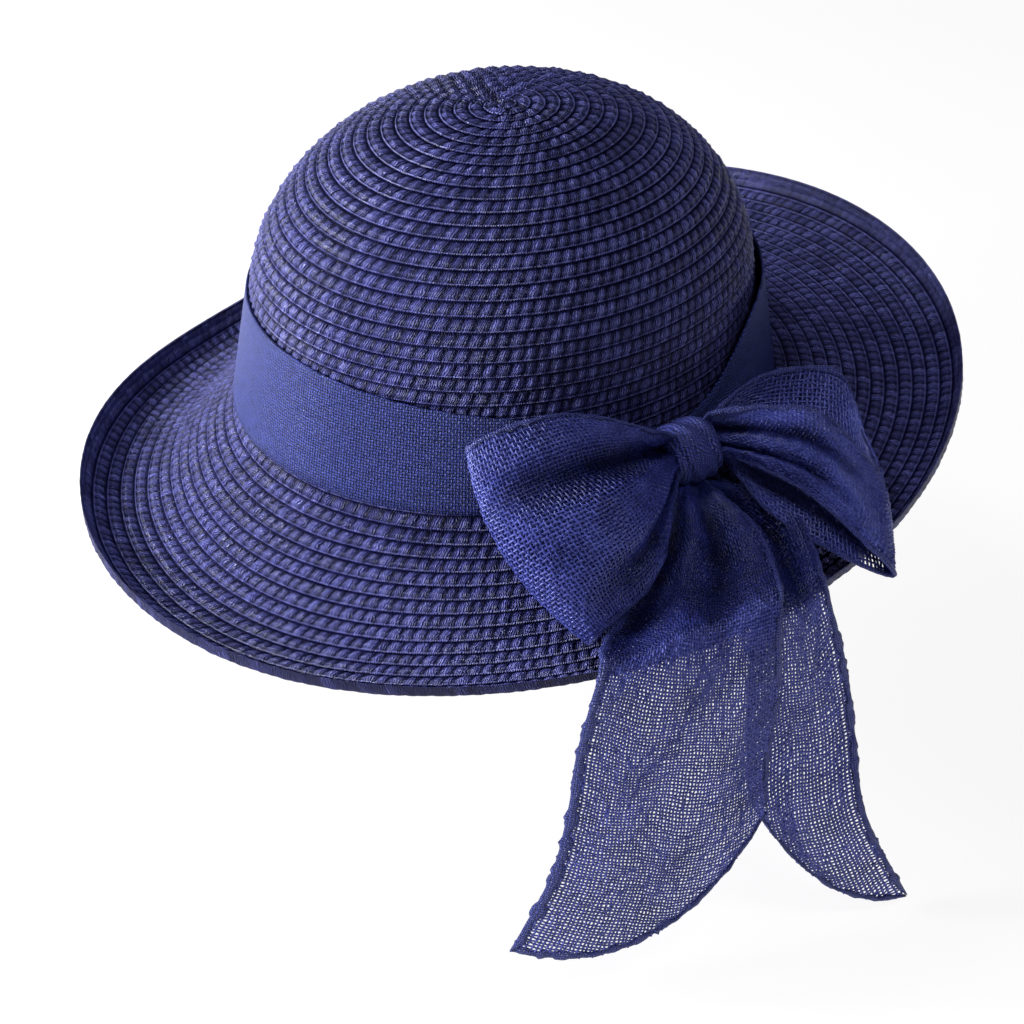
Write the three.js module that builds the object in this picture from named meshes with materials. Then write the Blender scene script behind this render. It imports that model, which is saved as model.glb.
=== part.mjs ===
// Sewn-braid straw sun hat with a ribbon band and a bow at the wearer's left side.
// Millimetres, +Z up the crown. The origin is the middle of the head opening at the
// foot of the crown. The front of the hat is -Y, and the bow is on the +X side.
// An azimuth is in degrees from the front (-Y) towards the bow side (+X).
import * as THREE from 'three';

// ---- Driving sizes ----
const crownLong = 199.6;        // outside of the straw at the head opening, front to back
const crownWide = 177.4;        // the same, side to side
const crownWallHeight = 39.4;   // straight wall under the ribbon band
const crownWallTaper = 0.071;   // how much of its width the wall loses over that height
const crownHeight = 102.3;      // head opening to the top
const domeSidePower = 2.54;     // how square the shoulder is, seen from above
const domeTopPower = 1.77;      // how flat the top is
const strawWall = 1.8;          // two laps of braid

const brimReach = 79;           // along the brim, from the crown to the rim
const brimFillet = 12;          // stretch over which the wall turns into the brim
const brimRiseStart = 36.5;     // from here outwards the brim turns up
const brimLip = 13;             // stretch of the curled lip
const brimCurl = 52;            // extra turn of the lip, degrees
const brimRisePower = 1.1;      // how the turn up grows from there to the rim
const brimLipPower = 1.5;       // and the curl over the lip
const brimWall = 1.8;
const brimGap = 0.3;            // parts the brim's straw from the crown's

const bandWall = 1.2;
const bandGap = 0.6;
const bandFootOff = 0.7;        // its lower edge stands off this much of what its upper one does
const bandFootSlope = 0.35;     // and leans out over the brim's fillet below the crown's foot
const ribbonWall = 1.2;

const bowAzimuth = 81;          // where the knot sits round the crown
const bowStandoff = 20;         // from the straw to the middle of the bow's face
const bowHeight = 21;
const bowLean = 35;             // the bow's face looks up by this angle

const knotSize = { along: 20, up: 22, out: 24 };
const knotCentre = { along: 5.5, out: -9.5 };
const knotPower = 3;
const knotBack = 2.8;           // its back lies flat on the band, this far off the straw
const knotFoldDepth = 0.8;
const knotFolds = 4;

const loopPleatDepth = 1.1;     // pleats where a loop goes into the knot
const loopPleats = 2.5;         // across the ribbon's width
const loopPleatFade = 3;        // how soon they die out away from the knot

// ---- How finely the faces are cut ----
const facetsRound = 64;         // once round the hat
const knotFacets = 24;
const knotRings = 12;
const loopSteps = 22;
const loopFacetsAcross = 10;
const tailSteps = 26;
const tailFacetsAcross = 8;
const brimWalkStep = 0.5;       // the brim's section is walked out from the crown in these steps

// ---- Tables: one row for each section or fold ----
// The brim's section by azimuth: droop below level, then the angle it rises to, in degrees.
const brimSections = [
  { azimuth: 0, droop: 45, rise: 34 },
  { azimuth: 45, droop: 26, rise: 21 },
  { azimuth: 90, droop: 12, rise: 19 },
  { azimuth: 135, droop: 2, rise: 39 },
  { azimuth: 180, droop: -3, rise: 35 },
  { azimuth: 225, droop: 18, rise: 32 },
  { azimuth: 270, droop: 42, rise: 18 },
  { azimuth: 315, droop: 45, rise: 29 },
];

// The band's upper and lower edge by azimuth, and how far it stands off the straw: at the
// back it lies close, and from behind the bow it is drawn straight to the knot and gathered.
const bandSections = [
  { azimuth: 0, low: 0.5, high: 40.5, off: 0 },
  { azimuth: 30, low: 0, high: 36.5, off: 0 },
  { azimuth: 60, low: -0.5, high: 30, off: 0.5 },
  { azimuth: 90, low: 3, high: 19.5, off: 3 },
  { azimuth: 120, low: 0.5, high: 39, off: 6 },
  { azimuth: 150, low: 0, high: 40.5, off: 2.5 },
  { azimuth: 180, low: 0.5, high: 40.5, off: 0 },
  { azimuth: 210, low: 0.5, high: 40.5, off: 0 },
  { azimuth: 240, low: 0.5, high: 40.5, off: 0 },
  { azimuth: 270, low: 0.5, high: 40.5, off: 0 },
  { azimuth: 300, low: 0.5, high: 40.5, off: 0 },
  { azimuth: 330, low: 0.5, high: 41, off: 0 },
];

// Each loop, from the knot along its back layer, round the outer fold and back to the knot.
// Top and low edge in the bow's own frame: along the band, up its face, out of its face.
// bulge puffs the middle of the ribbon out of the face, and swell pushes it along the band.
const leftLoopRows = [
  { topAlong: -5.1, topUp: 6, topOut: -9, lowAlong: -5.1, lowUp: -6, lowOut: -9.0, bulge: 0, swell: 0 },
  { topAlong: -38, topUp: 23, topOut: -7.5, lowAlong: -32, lowUp: -28, lowOut: -6, bulge: -4, swell: 0 },
  { topAlong: -64, topUp: 28, topOut: -8, lowAlong: -52, lowUp: -41, lowOut: -1, bulge: -4, swell: -6 },
  { topAlong: -73, topUp: 27, topOut: -5, lowAlong: -58, lowUp: -45, lowOut: 1.5, bulge: 0, swell: -9 },
  { topAlong: -64, topUp: 29, topOut: -2, lowAlong: -52, lowUp: -41, lowOut: 4, bulge: 6, swell: -6 },
  { topAlong: -40, topUp: 26, topOut: 1, lowAlong: -31, lowUp: -31, lowOut: 5, bulge: 9, swell: 0 },
  { topAlong: -5.1, topUp: 9, topOut: -1.5, lowAlong: -5.1, lowUp: -8, lowOut: -1.5, bulge: 1, swell: 0 },
];
const rightLoopRows = [
  { topAlong: 16.3, topUp: 8, topOut: -9, lowAlong: 16.3, lowUp: -5, lowOut: -7, bulge: 0, swell: 0 },
  { topAlong: 42, topUp: 15, topOut: -6, lowAlong: 20, lowUp: -29, lowOut: 6, bulge: -3, swell: 0 },
  { topAlong: 69, topUp: 7, topOut: -2, lowAlong: 26.5, lowUp: -48, lowOut: 27.5, bulge: -4, swell: 1 },
  { topAlong: 64, topUp: -14, topOut: 8, lowAlong: 37.5, lowUp: -58.8, lowOut: 34, bulge: 0, swell: 2 },
  { topAlong: 55, topUp: -26, topOut: 20, lowAlong: 32, lowUp: -49, lowOut: 36, bulge: 3, swell: 1 },
  { topAlong: 42, topUp: -1, topOut: 16, lowAlong: 27, lowUp: -24, lowOut: 17, bulge: 6, swell: 0 },
  { topAlong: 16.3, topUp: 10, topOut: 0, lowAlong: 16.3, lowUp: -7, lowOut: 0, bulge: 1, swell: 0 },
];

// Each tail, from the knot over the brim and its lip to the cut end. For its two edges:
// azimuth, distance off the foot of the crown, height. sag drops the middle of the row.
const leftTailRows = [
  { azL: 77.5, offL: 19.5, zL: 6, azR: 85, offR: 24, zR: 5.5, bulge: 1, sag: 0 },
  { azL: 69, offL: 37, zL: -0.5, azR: 85, offR: 39, zR: 4, bulge: 2, sag: 0 },
  { azL: 61.5, offL: 50, zL: -8.6, azR: 84.7, offR: 50, zR: 1.5, bulge: 2, sag: 0 },
  { azL: 57, offL: 63, zL: -12.4, azR: 82.4, offR: 62, zR: 0, bulge: 1, sag: 0 },
  { azL: 56, offL: 71.5, zL: -12.6, azR: 80.2, offR: 73, zR: -2, bulge: 0, sag: 0 },
  { azL: 54.8, offL: 75.5, zL: -21, azR: 78.4, offR: 79.5, zR: -14, bulge: 0, sag: 0 },
  { azL: 53, offL: 77, zL: -42, azR: 78, offR: 82, zR: -35, bulge: 2, sag: 0 },
  { azL: 52, offL: 79, zL: -63, azR: 77, offR: 82.5, zR: -55, bulge: 4, sag: 4 },
  { azL: 50, offL: 81.5, zL: -88, azR: 76.5, offR: 84, zR: -69, bulge: 5, sag: 10 },
  { azL: 45.5, offL: 84, zL: -118, azR: 76.5, offR: 85, zR: -80, bulge: 5, sag: 16 },
];
const rightTailRows = [
  { azL: 82.5, offL: 13.5, zL: 2.5, azR: 90, offR: 17, zR: 3, bulge: 0, sag: 0 },
  { azL: 81, offL: 40, zL: -4, azR: 94, offR: 42, zR: 0, bulge: 0, sag: 0 },
  { azL: 77.5, offL: 58, zL: -9, azR: 91, offR: 59, zR: -3, bulge: 0, sag: 0 },
  { azL: 75.5, offL: 71.5, zL: -8, azR: 87.2, offR: 72.5, zR: -4, bulge: 0, sag: 0 },
  { azL: 75, offL: 75, zL: -17, azR: 87.2, offR: 77.5, zR: -13, bulge: 0, sag: 0 },
  { azL: 74.7, offL: 76, zL: -38, azR: 88.3, offR: 82, zR: -32, bulge: 0, sag: 0 },
  { azL: 75, offL: 77, zL: -56, azR: 89.2, offR: 87, zR: -58, bulge: 0, sag: 2 },
  { azL: 75, offL: 78.5, zL: -70, azR: 89, offR: 96, zR: -91, bulge: 0, sag: 8 },
  { azL: 75.5, offL: 80, zL: -80, azR: 94.5, offR: 106, zR: -133, bulge: 0, sag: 14 },
];

// ---- Small helpers ----
const rad = THREE.MathUtils.degToRad;
const lerp = THREE.MathUtils.lerp;
const hill = (v) => 4 * v * (1 - v);

/** Smooth curve through four values in a row, at f from the second to the third. */
function through(a, b, c, d, f) {
  const start = (c - a) / 2;
  const end = (d - b) / 2;
  const f2 = f * f;
  const f3 = f2 * f;
  return (2 * f3 - 3 * f2 + 1) * b + (f3 - 2 * f2 + f) * start + (3 * f2 - 2 * f3) * c + (f3 - f2) * end;
}

/** A column of a table that goes once round the hat, at an azimuth. */
function around(table, column, azimuth) {
  const at = (((azimuth / 360) % 1) + 1) % 1 * table.length;
  const i = Math.floor(at);
  const pick = (k) => table[(i + k + table.length) % table.length][column];
  return through(pick(-1), pick(0), pick(1), pick(2), at - i);
}

/** A row of an open table, at t from 0 to 1 along it. */
function along(table, t) {
  const at = Math.min(t, 1 - 1e-9) * (table.length - 1);
  const i = Math.floor(at);
  const pick = (k) => table[THREE.MathUtils.clamp(i + k, 0, table.length - 1)];
  const row = {};
  for (const column of Object.keys(table[0])) {
    row[column] = through(...[-1, 0, 1, 2].map((k) => pick(k)[column]), at - i);
  }
  return row;
}

/** A point off the foot of the crown: azimuth, distance out along the oval's normal, height. */
function offCrown(azimuth, off, z, halfLong = crownLong / 2, halfWide = crownWide / 2) {
  const a = rad(azimuth);
  const r = 1 / Math.hypot(Math.sin(a) / halfWide, Math.cos(a) / halfLong);
  const x = r * Math.sin(a);
  const y = -r * Math.cos(a);
  const n = new THREE.Vector2(x / halfWide ** 2, y / halfLong ** 2).normalize();
  return new THREE.Vector3(x + n.x * off, y + n.y * off, z);
}

/** A closed body between two grids of points. Rows may close round, and end in a pole. */
function bodyBetween(outer, inner, { round = false, pole = false } = {}) {
  const positions = [];
  const index = [];
  const known = new Map();
  const vertex = (p) => {
    const key = [p.x, p.y, p.z].map((c) => c.toFixed(4)).join();
    if (!known.has(key)) {
      known.set(key, positions.length / 3);
      positions.push(p.x, p.y, p.z);
    }
    return known.get(key);
  };
  const triangle = (...corners) => {
    const [a, b, c] = corners.map(vertex);
    if (a !== b && b !== c && c !== a) index.push(a, b, c);
  };
  const quad = (a, b, c, d) => {
    triangle(a, b, c);
    triangle(a, c, d);
  };
  const rows = outer.length;
  const cols = outer[0].length;
  const lastCol = round ? cols : cols - 1;
  for (let i = 0; i < rows - 1; i++) {
    for (let j = 0; j < lastCol; j++) {
      const k = (j + 1) % cols;
      quad(outer[i][j], outer[i][k], outer[i + 1][k], outer[i + 1][j]);
      quad(inner[i][j], inner[i + 1][j], inner[i + 1][k], inner[i][k]);
    }
    if (!round) {
      quad(outer[i][0], outer[i + 1][0], inner[i + 1][0], inner[i][0]);
      quad(outer[i][cols - 1], inner[i][cols - 1], inner[i + 1][cols - 1], outer[i + 1][cols - 1]);
    }
  }
  for (let j = 0; j < lastCol; j++) {
    const k = (j + 1) % cols;
    const end = rows - 1;
    quad(outer[0][j], inner[0][j], inner[0][k], outer[0][k]);
    if (!pole) quad(outer[end][j], outer[end][k], inner[end][k], inner[end][j]);
  }
  const geometry = new THREE.BufferGeometry();
  geometry.setAttribute('position', new THREE.Float32BufferAttribute(positions, 3));
  geometry.setIndex(index);
  geometry.computeVertexNormals();
  return geometry;
}

/** Both faces of a sheet of cloth whose middle is a grid of points. */
function clothBody(grid, wall) {
  const rows = grid.length;
  const cols = grid[0].length;
  const normalAt = (i, j) => {
    const down = grid[Math.min(i + 1, rows - 1)][j].clone().sub(grid[Math.max(i - 1, 0)][j]);
    const across = grid[i][Math.min(j + 1, cols - 1)].clone().sub(grid[i][Math.max(j - 1, 0)]);
    return across.cross(down).normalize();
  };
  const face = (side) => grid.map((row, i) => row.map(
    (p, j) => p.clone().addScaledVector(normalAt(i, j), side * wall / 2),
  ));
  return bodyBetween(face(1), face(-1));
}

function mesh(name, geometry, material) {
  const piece = new THREE.Mesh(geometry, material);
  piece.name = name;
  return piece;
}

// ---- Materials ----
const strawLook = new THREE.MeshStandardMaterial({ color: 0x23285e, roughness: 0.62, metalness: 0 });
const bandLook = new THREE.MeshStandardMaterial({ color: 0x2c3c86, roughness: 0.8, metalness: 0 });
const bowLook = new THREE.MeshStandardMaterial({ color: 0x24357f, roughness: 0.75, metalness: 0 });

// ---- Crown: straight wall, then a dome, one wall of braid, open below ----
function crownPoint(level, azimuth, inset) {
  const halfLong = crownLong / 2 - inset;
  const halfWide = crownWide / 2 - inset;
  const domeHeight = crownHeight - crownWallHeight - inset;
  let size = 1 - crownWallTaper * Math.min(level, 1);
  let z = crownWallHeight * Math.min(level, 1);
  if (level > 1) {
    const turn = (level - 1) * Math.PI / 2;
    size *= Math.cos(turn) ** (2 / domeSidePower);
    z += domeHeight * Math.sin(turn) ** (2 / domeTopPower);
  }
  if (level >= 2) return new THREE.Vector3(0, 0, crownHeight - inset);
  return offCrown(azimuth, 0, z, halfLong * size, halfWide * size);
}

function crownGeometry() {
  const levels = [0, 0.5, 1, 1.12, 1.24, 1.36, 1.48, 1.6, 1.72, 1.83, 1.92, 2];
  const rings = (inset) => levels.map((level) => Array.from(
    { length: facetsRound },
    (_, j) => crownPoint(level, j * 360 / facetsRound, inset),
  ));
  return bodyBetween(rings(0), rings(strawWall), { round: true, pole: true });
}

// ---- Brim: leaves the crown's foot, droops, rises and ends in a curled lip ----
function brimAngle(azimuth, s) {
  const droop = around(brimSections, 'droop', azimuth);
  const rise = around(brimSections, 'rise', azimuth);
  const fillet = Math.sin(Math.min(s / brimFillet, 1) * Math.PI / 2);
  const turn = Math.max(s - brimRiseStart, 0) / (brimReach - brimRiseStart);
  const lip = Math.max(s - (brimReach - brimLip), 0) / brimLip;
  const rising = (droop + rise) * turn ** brimRisePower;
  return rad(-90 + (90 - droop) * fillet + rising + brimCurl * lip ** brimLipPower);
}

/** The brim's upper face and lower face at one azimuth, as points at the given stations. */
function brimSection(azimuth, stations) {
  const top = [];
  const under = [];
  let off = 0;
  let z = -brimGap;
  let s = 0;
  for (const station of stations) {
    while (s < station - 1e-9) {
      const middle = brimAngle(azimuth, s + brimWalkStep / 2);
      off += Math.cos(middle) * brimWalkStep;
      z += Math.sin(middle) * brimWalkStep;
      s += brimWalkStep;
    }
    const angle = brimAngle(azimuth, station);
    top.push(offCrown(azimuth, off, z));
    under.push(offCrown(azimuth, off + Math.sin(angle) * brimWall, z - Math.cos(angle) * brimWall));
  }
  return { top, under };
}

function brimGeometry() {
  const stations = [0, 3, 6, 9, 12, 24, 36, 46, 56, 66, 70, 73.5, 76.5, brimReach];
  const sections = Array.from(
    { length: facetsRound },
    (_, j) => brimSection(j * 360 / facetsRound, stations),
  );
  const rows = (face) => stations.map((_, i) => sections.map((section) => section[face][i]));
  return bodyBetween(rows('under'), rows('top'), { round: true });
}

// ---- Band: one ring of ribbon round the foot of the crown ----
function bandGeometry() {
  const levels = [0, 0.5, 1];
  const taperAt = (z) => 1 - crownWallTaper * z / crownWallHeight;
  const rings = (gap) => levels.map((level) => Array.from({ length: facetsRound }, (_, j) => {
    const azimuth = j * 360 / facetsRound;
    const column = (name) => around(bandSections, name, azimuth);
    const z = lerp(column('low'), column('high'), level);
    const off = gap + column('off') * lerp(bandFootOff, 1, level) + Math.max(0, -z) * bandFootSlope;
    const taper = taperAt(Math.max(z, 0));
    return offCrown(azimuth, off, z, crownLong / 2 * taper, crownWide / 2 * taper);
  }));
  return bodyBetween(rings(bandGap + bandWall), rings(bandGap), { round: true });
}

// ---- Bow: its own frame stands on the band, leaning back ----
const outwards = offCrown(bowAzimuth, 1, 0).sub(offCrown(bowAzimuth, 0, 0));
const bowOut = outwards.clone().multiplyScalar(Math.cos(rad(bowLean))).setZ(Math.sin(rad(bowLean)));
const bowUp = outwards.clone().multiplyScalar(-Math.sin(rad(bowLean))).setZ(Math.cos(rad(bowLean)));
const bowAlong = bowUp.clone().cross(bowOut);
const bowMiddle = offCrown(bowAzimuth, bowStandoff, bowHeight);

function onBow(alongBand, up, out) {
  return bowMiddle.clone()
    .addScaledVector(bowAlong, alongBand)
    .addScaledVector(bowUp, up)
    .addScaledVector(bowOut, out);
}

/** The knot: a puffed wrap with slanting folds, flattened where it lies on the band. */
function knotGeometry() {
  const positions = [];
  const index = [];
  const power = (value) => Math.sign(value) * Math.abs(value) ** (2 / knotPower);
  for (let i = 0; i <= knotRings; i++) {
    const side = -Math.cos(i / knotRings * Math.PI);
    const reach = Math.sin(i / knotRings * Math.PI) ** (2 / knotPower);
    for (let j = 0; j < (i % knotRings ? knotFacets : 1); j++) {
      const turn = j / knotFacets * Math.PI * 2;
      const fold = knotFoldDepth * Math.cos(knotFolds * Math.PI * side + turn) * reach;
      const up = power(Math.sin(turn)) * reach * (knotSize.up / 2 + fold);
      const out = power(Math.cos(turn)) * reach * (knotSize.out / 2 + fold);
      const p = onBow(knotCentre.along + power(side) * knotSize.along / 2, up, knotCentre.out + out);
      const off = p.clone().sub(bowMiddle).dot(outwards) + bowStandoff;
      p.addScaledVector(outwards, Math.max(knotBack - off, 0));
      positions.push(p.x, p.y, p.z);
    }
  }
  const at = (i, j) => {
    if (i === 0) return 0;
    if (i === knotRings) return positions.length / 3 - 1;
    return 1 + (i - 1) * knotFacets + j % knotFacets;
  };
  for (let i = 0; i < knotRings; i++) {
    for (let j = 0; j < knotFacets; j++) {
      if (i > 0) index.push(at(i, j), at(i + 1, j), at(i, j + 1));
      if (i < knotRings - 1) index.push(at(i, j + 1), at(i + 1, j), at(i + 1, j + 1));
    }
  }
  const geometry = new THREE.BufferGeometry();
  geometry.setAttribute('position', new THREE.Float32BufferAttribute(positions, 3));
  geometry.setIndex(index);
  geometry.computeVertexNormals();
  return geometry;
}

/** A loop of ribbon, from the knot out along its back layer and home along its front. */
function loopGeometry(rows) {
  const grid = [];
  for (let i = 0; i <= loopSteps; i++) {
    const t = i / loopSteps;
    const row = along(rows, t);
    const nearKnot = Math.abs(2 * t - 1) ** loopPleatFade;
    grid.push(Array.from({ length: loopFacetsAcross + 1 }, (_, j) => {
      const v = j / loopFacetsAcross;
      const pleat = loopPleatDepth * nearKnot * Math.cos(2 * Math.PI * loopPleats * v);
      return onBow(
        lerp(row.topAlong, row.lowAlong, v) + row.swell * hill(v),
        lerp(row.topUp, row.lowUp, v),
        lerp(row.topOut, row.lowOut, v) + row.bulge * hill(v) + pleat,
      );
    }));
  }
  return clothBody(grid, ribbonWall);
}

/** A tail of ribbon, from the knot over the brim to its cut end. */
function tailGeometry(rows) {
  const grid = [];
  for (let i = 0; i <= tailSteps; i++) {
    const row = along(rows, i / tailSteps);
    grid.push(Array.from({ length: tailFacetsAcross + 1 }, (_, j) => {
      const v = j / tailFacetsAcross;
      return offCrown(
        lerp(row.azL, row.azR, v),
        lerp(row.offL, row.offR, v) + row.bulge * hill(v),
        lerp(row.zL, row.zR, v) - row.sag * hill(v),
      );
    }));
  }
  return clothBody(grid, ribbonWall);
}

// ---- The hat ----
const group = new THREE.Group();
group.add(
  mesh('crown', crownGeometry(), strawLook),
  mesh('brim', brimGeometry(), strawLook),
  mesh('hatband', bandGeometry(), bandLook),
  mesh('bow_knot', knotGeometry(), bowLook),
  mesh('bow_loop_left', loopGeometry(leftLoopRows), bowLook),
  mesh('bow_loop_right', loopGeometry(rightLoopRows), bowLook),
  mesh('bow_tail_left', tailGeometry(leftTailRows), bowLook),
  mesh('bow_tail_right', tailGeometry(rightTailRows), bowLook),
);

export default group;
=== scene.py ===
import math
from functools import reduce

import bpy
import numpy as np
from mathutils import Matrix, Vector


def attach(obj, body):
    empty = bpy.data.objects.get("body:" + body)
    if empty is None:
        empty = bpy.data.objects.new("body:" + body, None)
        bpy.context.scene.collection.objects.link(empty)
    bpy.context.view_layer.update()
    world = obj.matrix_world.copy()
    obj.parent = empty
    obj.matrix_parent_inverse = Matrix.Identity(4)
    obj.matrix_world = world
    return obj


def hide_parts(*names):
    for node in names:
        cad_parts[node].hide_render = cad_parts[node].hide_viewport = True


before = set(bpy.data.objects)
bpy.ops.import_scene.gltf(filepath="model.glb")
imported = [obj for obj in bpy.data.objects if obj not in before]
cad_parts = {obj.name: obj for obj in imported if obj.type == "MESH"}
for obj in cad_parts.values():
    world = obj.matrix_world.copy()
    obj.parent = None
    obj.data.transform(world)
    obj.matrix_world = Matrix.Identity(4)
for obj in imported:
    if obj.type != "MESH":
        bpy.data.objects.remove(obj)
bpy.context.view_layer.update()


# ---- Camera ----
# A short telephoto looks down at the hat from the front, on the side of the bow. Its azimuth
# goes from the hat's front (-Y) towards the bow (+X), and its aim is given in its own frame.
CAMERA_LENS_MM = 85
CAMERA_SENSOR_MM = 36
CAMERA_AZIMUTH = 48.0
CAMERA_ELEVATION = 34.687
CAMERA_DISTANCE = 0.873981
CAMERA_AIM_RIGHT = 0.002831
CAMERA_AIM_UP = -0.053543


def add_object(name, data):
    """A new object in the scene, at the origin."""
    made = bpy.data.objects.new(name, data)
    bpy.context.scene.collection.objects.link(made)
    return made


def direction(azimuth, elevation):
    """Which way a place lies from the middle of the hat, by its angles in degrees."""
    a = math.radians(azimuth)
    e = math.radians(elevation)
    return Vector((math.sin(a) * math.cos(e), -math.cos(a) * math.cos(e), math.sin(e)))


def place_camera():
    azimuth = math.radians(CAMERA_AZIMUTH)
    right = Vector((math.cos(azimuth), math.sin(azimuth), 0))
    back = direction(CAMERA_AZIMUTH, CAMERA_ELEVATION)
    up = back.cross(right)
    place = right * CAMERA_AIM_RIGHT + up * CAMERA_AIM_UP + back * CAMERA_DISTANCE
    data = bpy.data.cameras.new("camera")
    data.lens = CAMERA_LENS_MM
    data.sensor_width = CAMERA_SENSOR_MM
    data.dof.use_dof = False
    camera = add_object("camera", data)
    turn = Matrix((right, up, back)).transposed()
    camera.matrix_world = Matrix.Translation(place) @ turn.to_4x4()
    bpy.context.scene.camera = camera


place_camera()


# ---- Crown ----
# The crown is one flat plait of dyed paper straw, sewn in a spiral from the tip down to the
# foot. Each turn laps over the next one, so its lower edge stands proud with a dark gap under
# it, and the crossing strands make a row of slanting pads along every turn.
CROWN_LONG = 0.1996
CROWN_WIDE = 0.1774
CROWN_WALL_HEIGHT = 0.0394
CROWN_WALL_TAPER = 0.071
CROWN_HEIGHT = 0.1023
DOME_SIDE_POWER = 2.54
DOME_TOP_POWER = 1.77

ROW = 0.005                  # from one lip of the plait to the next
PAD = 0.0044                 # from one slanting cut to the next, along the plait
PAD_UNEVEN = 0.30            # how far a cut may lie off its even place, as a share of a pad
PAD_LEAN = -0.40             # how far a cut leans along the plait, for each metre across it
CROWN_TIP_AZIMUTH = 318.0    # where the plait's end lies at the tip
CROWN_TIP_HOLE = 0.0002      # how far from the tip the plait starts
CROWN_FIRST_LIP = 0.0016
CROWN_STEPS = {"dome": 1600, "wall": 200}
WOBBLE_WAVES = 260.0         # how many waves a metre has where the straw is uneven


def table(columns, *rows):
    """A table from the names of its columns and its rows of values."""
    names = columns.split()
    return [dict(zip(names, row)) for row in rows]


def column(rows, name):
    return np.array([row[name] for row in rows], dtype=float)


MM = 0.001

# The plait's section, from its hidden inner edge over the pads to the lip and back below:
# across it and out of the straw in mm, how deep the cuts go there, how far a pad puffs, and
# how much painted light it gets: painted shade where it lies covered, a painted highlight on the lip.
PLAIT_SECTION = table(
    "across lift cut puff shine",
    (-1.60, -0.40, 0.0, 0.0, 0.0),
    (0.35, -0.56, 0.2, 0.1, 0.1),
    (1.10, -0.16, 1.6, 0.6, 0.9),
    (2.80, 0.12, 0.8, 1.4, 1.2),
    (4.15, -0.14, 1.1, 0.3, 0.7),
    (4.60, 0.18, 0.3, 0.1, 1.9),
    (5.00, -0.18, 0.1, 0.0, 0.4),
    (1.60, -1.30, -0.8, -0.6, 0.6),
)
# Along each pad: where the mesh has a column, and how much of the cut's depth it has there.
PAD_COLUMNS = table(
    "along depth",
    (0.00, 1.0),
    (0.19, 0.16),
    (0.50, -0.45),
    (0.81, 0.16),
)
def off_crown(azimuth, off, z, size=1):
    """Points round the crown's foot, or an oval of a share of its size, moved out from it."""
    half_long = CROWN_LONG / 2 * size
    half_wide = CROWN_WIDE / 2 * size
    a = np.radians(azimuth)
    r = 1 / np.hypot(np.sin(a) / half_wide, np.cos(a) / half_long)
    x = r * np.sin(a)
    y = -r * np.cos(a)
    normal_x = x / half_wide ** 2
    normal_y = y / half_long ** 2
    length = np.hypot(normal_x, normal_y)
    x = x + normal_x / length * off
    y = y + normal_y / length * off
    return np.stack(np.broadcast_arrays(x, y, z), axis=-1)


def crown_outline(level):
    """Share of the foot's size and height, at a level from 0 at the foot over 1 to 2 at the tip."""
    turn = np.clip(level - 1, 0, 1) * math.pi / 2
    size = (1 - CROWN_WALL_TAPER * np.minimum(level, 1)) * np.cos(turn) ** (2 / DOME_SIDE_POWER)
    dome = (CROWN_HEIGHT - CROWN_WALL_HEIGHT) * np.sin(turn) ** (2 / DOME_TOP_POWER)
    return size, CROWN_WALL_HEIGHT * np.minimum(level, 1) + dome


def crown_levels():
    """Levels from the tip to the foot, with how far each is from the tip along the straw."""
    wall = np.linspace(1, 0, CROWN_STEPS["wall"])
    level = np.concatenate([np.linspace(2, 1, CROWN_STEPS["dome"]), wall[1:]])
    size, z = crown_outline(level)
    half = (CROWN_LONG + CROWN_WIDE) / 4
    steps = np.hypot(np.diff(size) * half, np.diff(z))
    return level, np.concatenate([[0], np.cumsum(steps)])


CROWN_LEVEL, CROWN_WALK = crown_levels()


def crown_surface(azimuth, walk):
    """The outside of the crown, at a distance from the tip along the straw."""
    size, z = crown_outline(np.interp(walk, CROWN_WALK, CROWN_LEVEL))
    return off_crown(azimuth, 0, z, np.maximum(size, 1e-4))


def unit(vectors):
    return vectors / np.maximum(np.linalg.norm(vectors, axis=-1, keepdims=True), 1e-12)


def surface_normals(surface, azimuth, walk):
    """Which way is out of a surface that is given by azimuth and walk. Up where it is level."""
    along = surface(azimuth + 0.5, walk) - surface(azimuth - 0.5, walk)
    down = surface(azimuth, walk + 0.0004) - surface(azimuth, walk - 0.0004)
    return unit(np.cross(down, along))


def new_mesh(name, points, edges, faces):
    mesh = bpy.data.meshes.new(name)
    mesh.from_pydata(points.reshape(-1, 3).tolist(), edges, faces)
    return mesh


def keep(mesh, name, kind, values, domain="POINT"):
    """Keeps values on a mesh, for its material and for Geometry Nodes."""
    layer = mesh.attributes.new(name, kind, domain)
    flat = np.asarray(values).astype({"INT": np.int32, "BOOLEAN": bool}.get(kind, np.float32))
    layer.data.foreach_set("vector" if kind == "FLOAT_VECTOR" else "value", flat.ravel())


def tube_faces(rings, sides, closed=False):
    """The faces of a tube of rings of points, joined up where it is closed and else capped."""
    faces = []
    for k in range(rings if closed else rings - 1):
        here = k * sides
        there = (k + 1) % rings * sides
        for j in range(sides):
            i = (j + 1) % sides
            faces.append((here + j, here + i, there + i, there + j))
    if not closed:
        faces.append(tuple(range(sides - 1, -1, -1)))
        faces.append(tuple((rings - 1) * sides + j for j in range(sides)))
    return faces


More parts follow.
